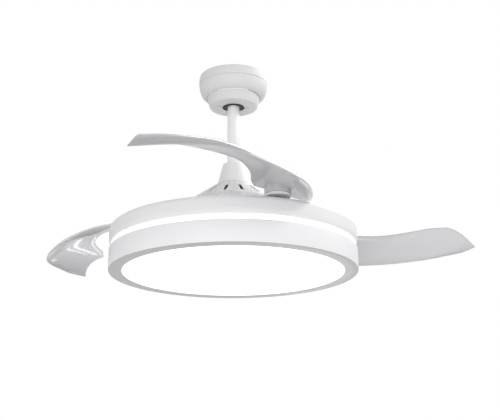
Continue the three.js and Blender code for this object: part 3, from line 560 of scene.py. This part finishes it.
def coupling_cover():
    """The plain cone round the foot of the rod."""
    cover = turned("coupling_cone", [
        (31.0, 187.2), (32.5, 187.2),
        *arc(4, lambda share: (32.3 - 10.1 * share, 189.4 + 38.6 * share)),
        (22.0, 229.6), (21.0, 230.5), (13.1, 230.5), (13.1, 229), (20.2, 229), (21.0, 227.5),
    ])
    rounded(cover, 0.35)
    return done(cover)


def slotted_cover():
    """The cone over the motor, with a ring of slots cut through it."""
    cover = turned("slotted_motor_cover", [
        (17.5, 185.3), (33.2, 185.3), (95.4, 141.2), (95.4, 131), (97, 131), (97, 141.6),
        (96.2, 142.9), (34, 186.9), (17.5, 186.9),
    ])
    slots = [slot_prism("slots", 58, 84, 6.6, 131, 187)]
    slots[0].data.transform(Matrix.Rotation(math.radians(SLOT_TURN), 4, "Z"))
    slots += [copied(slots[0], "slots", 360 / SLOTS * i) for i in range(1, SLOTS)]
    cut(cover, merged(slots))
    rounded(cover, 0.3)
    return done(cover)


def rotor_top():
    """The stepped shell, painted near black as painted shade that shows through the slots."""
    shell = turned("rotor_top_shell", [
        (82, 124.15), (82, 134.6), (81.6, 135.6), (80.6, 136), (54.6, 136), (53.4, 136.5),
        (53, 137.6), (53, 151.6), (52.4, 153.3), (50.8, 154), (11, 154), (11, 152.2),
        (51.2, 152.2), (51.2, 134.2), (80.2, 134.2), (80.2, 124.15),
    ])
    rounded(shell, 0.3)
    return done(shell)


# ---------------------------------------------------------------- blades

# The blade's outer lower edge, its crest and its inner edge, from tip to root, measured from its
# pivot and the carrier's top.
OUTER_EDGE = [
    (-238.5, -314.6, -19.5), (-190, -320.6, -20.5), (-145, -315.1, -19), (-108.5, -308.6, -18),
    (-70, -287.1, -19), (-24, -243.6, -21), (13, -195.6, -21.7), (39, -153.6, -22),
    (56, -103.6, -22), (61, -48.6, -20.5), (62, 2.4, -8.2),
]
CREST = [
    (-238, -311.6, -4), (-188, -323.6, -6), (-141, -321.6, -8.5), (-103, -311.6, -8.5),
    (-70, -286.6, -8), (-26, -236.6, -5), (6, -187.6, -2.7), (29, -136.6, -1.7),
    (48, -87.6, -2.2), (57, -41.6, -2.5), (58.5, 4.4, -1),
]
INNER_EDGE = [
    (-225.5, -250.6, 19), (-197, -228.6, 21), (-158, -210.6, 21), (-118, -188.1, 20.3),
    (-93, -166.6, 20.5), (-74, -142.6, 21.5), (-62, -117.6, 22), (-54, -89.6, 22),
    (-49.5, -61.6, 21.8), (-49, -29.6, 21), (-44, 1.4, 20),
]
TIP_HOLLOW = Vector((0.95, 0.3, 0)) * 8  # how far the end at the tip curves in
ROOT_ROUND = Vector((-0.17, 0.98, 0)) * 33  # how far the end at the root curves out
END_REACH = 0.2  # share of the length that the shape of each end takes
CROWDING = 1.25  # above 1, the blade's grid is finer near its outer edge
PIVOT = Vector((*polar(PIVOT_AT, PIVOT_TURN), CARRIER_TOP))
CRANK_AT, CRANK_TURN = 17, 132  # the crank pin's distance and turn from the pivot
OPENING = (118, 252)  # the hub's skirt is open between these turns from the pivot


def along_curve(points, share):
    """A point of the smooth curve through all the points, evenly shared out between them."""
    last = len(points) - 1
    place = min(share * last, last - 1e-9)
    index = int(place)
    weight = place - index
    ends = [Vector(points[index]), Vector(points[index + 1])]
    before = Vector(points[index - 1]) if index else 2 * ends[0] - ends[1]
    after = Vector(points[index + 2]) if index + 2 <= last else 2 * ends[1] - ends[0]
    pairs = ((before, ends[0]), (ends[0], ends[1]), (ends[1], after))
    spans = [math.sqrt((b - a).length) for a, b in pairs]
    leave = ((ends[0] - before) / spans[0] - (ends[1] - before) / (spans[0] + spans[1])
             + (ends[1] - ends[0]) / spans[1]) * spans[1]
    arrive = ((ends[1] - ends[0]) / spans[1] - (after - ends[0]) / (spans[1] + spans[2])
              + (after - ends[1]) / spans[2]) * spans[1]
    square, cube = weight ** 2, weight ** 3
    return (ends[0] * (2 * cube - 3 * square + 1) + leave * (cube - 2 * square + weight)
            + ends[1] * (3 * square - 2 * cube) + arrive * (cube - square))


def blade_point(along, across):
    """The upper face, along from tip to root and across from the outer to the inner edge."""
    outer = along_curve(OUTER_EDGE, along)
    crest = along_curve(CREST, along)
    inner = along_curve(INNER_EDGE, along)
    shoulder = crest.lerp(inner, 0.3)
    shoulder.z = crest.z + 0.9 * (inner.z - crest.z)
    rest = 1 - across
    point = (outer * rest ** 3 + crest * 3 * rest ** 2 * across
             + shoulder * 3 * rest * across ** 2 + inner * across ** 3)
    bow = 4 * across * rest
    near_tip = max(0, 1 - along / END_REACH) ** 2
    near_root = max(0, 1 - (1 - along) / END_REACH) ** 2
    return PIVOT + point + TIP_HOLLOW * bow * near_tip + ROOT_ROUND * bow * near_root


def blade_face(name, rows, columns):
    """The blade's upper face as a grid laid over its curves."""
    face = primitive(bpy.ops.mesh.primitive_grid_add, name, x_subdivisions=rows,
                     y_subdivisions=columns, size=1)
    for vertex in face.data.vertices:
        point = blade_point(vertex.co.x + 0.5, max(0.0, vertex.co.y + 0.5) ** CROWDING)
        vertex.co = (point - Vector((0, 0, DROP))) * MM
    opened(face)
    sealed()
    if sum(polygon.normal.z for polygon in face.data.polygons) < 0:
        face.data.flip_normals()
    return face


def blade_sheet():
    """The blade itself: its upper face with a thickness below it."""
    sheet = blade_face("blade_sheet_1", 84, 24)
    applied(sheet, "SOLIDIFY", thickness=BLADE_T * MM, offset=-1.0, use_even_offset=True)
    rounded(sheet, 0.8, 2, 50)
    return done(sheet, 40)


def blade_boss():
    """The hub under a blade's root: a skirt open for the link, a tube and a crank pin."""
    low, high = CARRIER_TOP + 0.3, PAD_TOP
    place = (PIVOT.x, PIVOT.y)
    skirt = turned("blade_boss_1", [(22.8, low), (24.8, low), (24.8, high), (22.8, high)],
                   steps=96, at=place)
    opening = primitive(bpy.ops.mesh.primitive_circle_add, "opening", vertices=3, radius=1,
                        fill_type="NOTHING")
    corners = [(0, 0), *(polar(80, PIVOT_TURN + turn) for turn in OPENING)]
    for vertex, (x, y) in zip(opening.data.vertices, corners):
        vertex.co = ((place[0] + x) * MM, (place[1] + y) * MM, 0)
    filled(opening)
    extruded(opening, low - 1 - DROP, 8.8)
    cut(skirt, opening)
    crank = polar(CRANK_AT, PIVOT_TURN + CRANK_TURN)
    beside = (place[0] + crank[0], place[1] + crank[1])
    tube = turned("tube", [(BORE_R, low), (7.4, low), (7.4, high), (BORE_R, high)],
                  steps=48, at=place)
    pin = turned("pin", [
        (0, low), (2.2, low), (2.2, low + 4.3), (4.2, low + 4.3), (4.2, high), (0, high),
    ], closed=False, steps=32, at=beside)
    boss = merged([skirt, tube, pin])
    under = blade_face("under", 60, 16)
    extruded(under, -BLADE_T / 2, -30)
    cut(boss, under, "INTERSECT")
    boss.name = boss.data.name = "blade_boss_1"
    return done(boss)


def blade_pad():
    """The round pad on the blade's root, level where the blade slopes."""
    pad = turned("blade_pad_1", [
        (BORE_R, PAD_TOP - 6.4), (14, PAD_TOP - 6.4), (14, PAD_TOP - 1.2), (13.6, PAD_TOP - 0.35),
        (12.8, PAD_TOP), (BORE_R, PAD_TOP),
    ], steps=64, at=(PIVOT.x, PIVOT.y))
    return done(pad)


def pivot_button():
    """The cap on a pivot post, hollow below."""
    low = PAD_TOP + 0.3
    button = turned("pivot_button_1", [
        (BORE_R, low), (12.2, low), (12.5, low + 0.3), (12.5, low + 2.3),
        *[(8.9 + 3.6 * math.cos(a), low + 2.3 + 1.3 * math.sin(a)) for a in (0.3, 0.6, 0.9, 1.2)],
        (8.9, low + 3.6), (0, low + 3.6), (0, low + 1.8), (BORE_R, low + 1.8),
    ], closed=False, steps=64, at=(PIVOT.x, PIVOT.y))
    return done(button)


# ---------------------------------------------------------------- light drum

def drum_housing():
    """A shell with a foot that flares out, a round shoulder and a sunk top."""
    def foot(radius):
        return arc(10, lambda share: (
            radius + 4.5 * math.sin(share * math.pi / 2),
            53.6 + 12 * (1 - math.cos(share * math.pi / 2)),
        ))

    def shoulder(width, height):
        return quarter(14, 239, width, 79, height, 72)

    housing = turned("drum_housing", [
        *foot(245.5), *shoulder(11, 10), (238, 89.7), (212, 95.2), (206, 96), (204.6, 95.4),
        (204, 94), (204, 86), (12, 86), (12, 84.4), (205.6, 84.4), (205.6, 93.2),
        *reversed(shoulder(9.4, 8.4)), *reversed(foot(243.9)),
    ], steps=DRUM_STEPS)
    return done(housing)


def glow_band():
    """The lit band between housing and ring."""
    band = turned("glow_band", [(241.1, 43.3), (245.5, 43.3), (245.5, 53.3), (241.1, 53.3)],
                  steps=DRUM_STEPS)
    rounded(band, 0.4)
    return done(band)


def rim_ring():
    """The ring round the drum, with a rim below that holds the diffuser."""
    ring = turned("rim_ring", [
        (223.3, 0), (249, 0), (249.7, 0.3), (250, 1), (250, 40), (249.6, 41.6), (248.8, 42.6),
        (247.8, 43), (232, 43), (232, 41.5), (247, 41.5), (247, 1.5), (223.3, 1.5),
    ], steps=DRUM_STEPS)
    rounded(ring, 0.3)
    return done(ring)


def light_cover():
    """The diffuser, with a step that rests on the rim."""
    cover = turned("light_cover", [
        (0, 0.3), (222.2, 0.3), (223, 0.6), (223, 1.8), (230.3, 1.8), (230.3, 4.0), (0, 4.0),
    ], closed=False, steps=DRUM_STEPS)
    return done(cover)


# ---------------------------------------------------------------- assembly

def fit(piece, body, material, slot, *nodes):
    """The piece gets its finish, rides on its body and stands for its nodes."""
    piece.data.materials.clear()
    piece.data.materials.append(material)
    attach(piece, body)
    if nodes:
        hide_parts(*nodes)


band, bowl, base_ring = canopy()
fit(band, "ceiling_mount", CANOPY_SHADED_PAINT, "white_paint", "canopy_band")
fit(bowl, "ceiling_mount", CANOPY_SHADED_PAINT, "white_paint", "canopy_bowl")
fit(base_ring, "ceiling_mount", CANOPY_SHADED_PAINT, "white_paint", "canopy_lower_ring")
fit(hanger_ball(), "hanging", RUBBER, "rubber", "hanger_ball")
fit(rod(), "hanging", ROD_PAINT, "white_paint", "downrod")
fit(coupling_cover(), "hanging", COVER_PLASTIC, "white_plastic", "coupling_cover")
fit(slotted_cover(), "hanging", SPECKLED, "white_paint", "vented_cover")
fit(rotor_top(), "rotor", ROTOR_SHADE_PAINT, "painted_aluminium", "rotor_upper_shell")
fit(drum_housing(), "hanging", HOUSING, "white_plastic", "upper_housing")
fit(glow_band(), "hanging", BAND, "diffuser_plastic", "light_band")
fit(rim_ring(), "hanging", RING_WITH_PAINTED_SHADE, "ring_plastic", "lower_ring")
fit(light_cover(), "hanging", DIFFUSER, "diffuser_plastic", "diffuser")

sheets, bosses, pads, buttons = [blade_sheet()], [blade_boss()], [blade_pad()], [pivot_button()]
sets = {"blade_sheet": sheets, "blade_boss": bosses, "blade_pad": pads, "pivot_button": buttons}
for number in range(1, BLADES):
    for stem, pieces in sets.items():
        pieces.append(copied(pieces[0], f"{stem}_{number + 1}", 360 / BLADES * number))
for number in range(BLADES):
    body = f"folding_blade_{number + 1}"
    for pieces, finish in ((sheets, BLADE), (bosses, BOSS_PAINTED_LIGHTER), (pads, BOSS_PAINTED_LIGHTER)):
        fit(pieces[number], body, finish, "blade_plastic", f"blade_{number + 1}")
    fit(buttons[number], "rotor", COVER_PLASTIC, "white_plastic", f"pivot_cap_{number + 1}")

# The finish of each node that the model itself brings, by its name without its number.
CARRIED = {
    "hanging_bracket": ZINC, "ceiling_screw": STEEL, "canopy_screw": STEEL,
    "ball_cross_pin": STEEL, "motor_yoke": CAST, "clevis_pin": STEEL, "cotter_pin": STEEL,
    "set_screw": STEEL, "motor_shaft": STEEL, "stator_core": LAMINATIONS,
    "stator_winding": COPPER, "magnet_ring": MAGNET, "rotor_lower_shell": CAST,
    "lower_bearing": STEEL, "upper_bearing": STEEL, "blade_carrier": WHITE_PAINT,
    "carrier_screw": STEEL, "sync_disc": ZINC, "link_rod": ZINC, "pivot_post": STEEL,
    "return_spring": STEEL, "diffuser_clip": ZINC, "light_frame": CAST, "shaft_nut": STEEL,
    "led_tray": ZINC, "led_board": BOARD, "band_led_strip": BOARD, "led_driver": CASE,
    "remote_receiver": CASE,
}
for name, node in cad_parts.items():
    stem = name.rstrip("123").rstrip("_")
    if stem in CARRIED:
        node.data.materials.clear()
        node.data.materials.append(CARRIED[stem])

# ---------------------------------------------------------------- camera, light and floor

def looking(location, target):
    """The rotation that turns a light at one place towards another."""
    direction = Vector(target) - Vector(location)
    return direction.to_track_quat("-Z", "Y").to_euler()


CAMERA_AT = (0.0338, -1.896, -0.863)
CAMERA_RISE = 16.697  # degrees that the camera looks up
CAMERA_ROLL = -0.308

camera = bpy.data.objects.new("camera", bpy.data.cameras.new("camera"))
camera.data.lens = 69.59
camera.data.sensor_width = 36
camera.data.sensor_fit = "HORIZONTAL"
rise = Matrix.Rotation(math.radians(90 + CAMERA_RISE), 4, "X")
roll = Matrix.Rotation(math.radians(CAMERA_ROLL), 4, "Z")
camera.matrix_world = Matrix.Translation(CAMERA_AT) @ rise @ roll
bpy.context.scene.collection.objects.link(camera)
bpy.context.scene.camera = camera


def softbox(name, location, target, size, watts):
    """A rectangular light that the camera doesn't see."""
    light = bpy.data.objects.new(name, bpy.data.lights.new(name, "AREA"))
    light.data.shape = "RECTANGLE"
    light.data.size, light.data.size_y = size
    light.data.energy = watts
    light.location = location
    light.rotation_euler = looking(location, target)
    light.visible_camera = False
    bpy.context.scene.collection.objects.link(light)


CENTRE = (0, 0, -0.33)
NEAR_BLADE = (0.05, -0.42, -0.33)
AMBIENT = 0.43  # brightness of the room as the surfaces receive it
FLOOR_AT = -2.7
FLOOR_R = 40
SEEN_LIFT, MIRRORED_LIFT = 0.6, 0.8  # share of plain white in the floor, seen and in reflections

softbox("front_softbox", (-0.2, -3.2, -1.1), CENTRE, (4.0, 3.0), 60)
softbox("top_softbox", (0.2, -1.2, 2.4), CENTRE, (2.4, 1.6), 6)
softbox("right_softbox", (2.6, 0.4, -0.5), CENTRE, (0.8, 1.4), 5)
softbox("left_softbox", (-2.6, -0.6, -0.5), CENTRE, (0.8, 1.4), 5)
softbox("side_panel", (2.14, -0.6, 1.1), NEAR_BLADE, (2.8, 1.0), 19)
softbox("back_panel", (1.2, 1.28, 1.27), NEAR_BLADE, (3.0, 1.1), 32)
softbox("low_back_softbox", (0.35, 2.6, -1.2), (-0.41, 0.26, -0.33), (0.5, 0.6), 1.8)
softbox("back_strip_left", (-0.61, 3.2, -1.2), (-0.61, 0, -1.2), (0.04, 0.4), 0.12)
softbox("back_strip_right", (-0.52, 3.2, -1.2), (-0.52, 0, -1.2), (0.04, 0.4), 0.12)

# The room is plain white where it is seen, reflected or looked at through the plastic. All other
# light from it is dimmed.
world = bpy.data.worlds.new("studio")
world.use_nodes = True
bpy.context.scene.world = world
nodes, links = world.node_tree.nodes, world.node_tree.links
seen = nodes.new("ShaderNodeLightPath")
plain = nodes["Background"]
plain.inputs["Color"].default_value = (1, 1, 1, 1)
plain.inputs["Strength"].default_value = AMBIENT
white = nodes.new("ShaderNodeBackground")
white.inputs["Color"].default_value = (1, 1, 1, 1)
white.inputs["Strength"].default_value = 1.0
rays = seen.outputs["Is Camera Ray"]
for kind in ("Is Glossy Ray", "Is Transmission Ray"):
    either = nodes.new("ShaderNodeMath")
    either.operation = "MAXIMUM"
    links.new(rays, either.inputs[0])
    links.new(seen.outputs[kind], either.inputs[1])
    rays = either.outputs[0]
mix = nodes.new("ShaderNodeMixShader")
links.new(rays, mix.inputs[0])
links.new(plain.outputs[0], mix.inputs[1])
links.new(white.outputs[0], mix.inputs[2])
links.new(mix.outputs[0], nodes["World Output"].inputs["Surface"])

floor = primitive(bpy.ops.mesh.primitive_circle_add, "floor", vertices=96, radius=FLOOR_R,
                  fill_type="TRIFAN", location=(0, 0, FLOOR_AT))
pale = Finish("floor_paint", (0.9, 0.9, 0.9), 0.8)
pale.mottled(0.01, 3.0)
path = pale.node("ShaderNodeLightPath")
direct = Reading(pale, path.outputs["Is Camera Ray"]) * SEEN_LIFT
mirrored = Reading(pale, path.outputs["Is Glossy Ray"]) * MIRRORED_LIFT
pale.blended(direct + mirrored, pale.node("ShaderNodeEmission", None, {"Strength": 1.0}))
floor.data.materials.append(pale.material)

bpy.context.scene.view_settings.view_transform = "Standard"
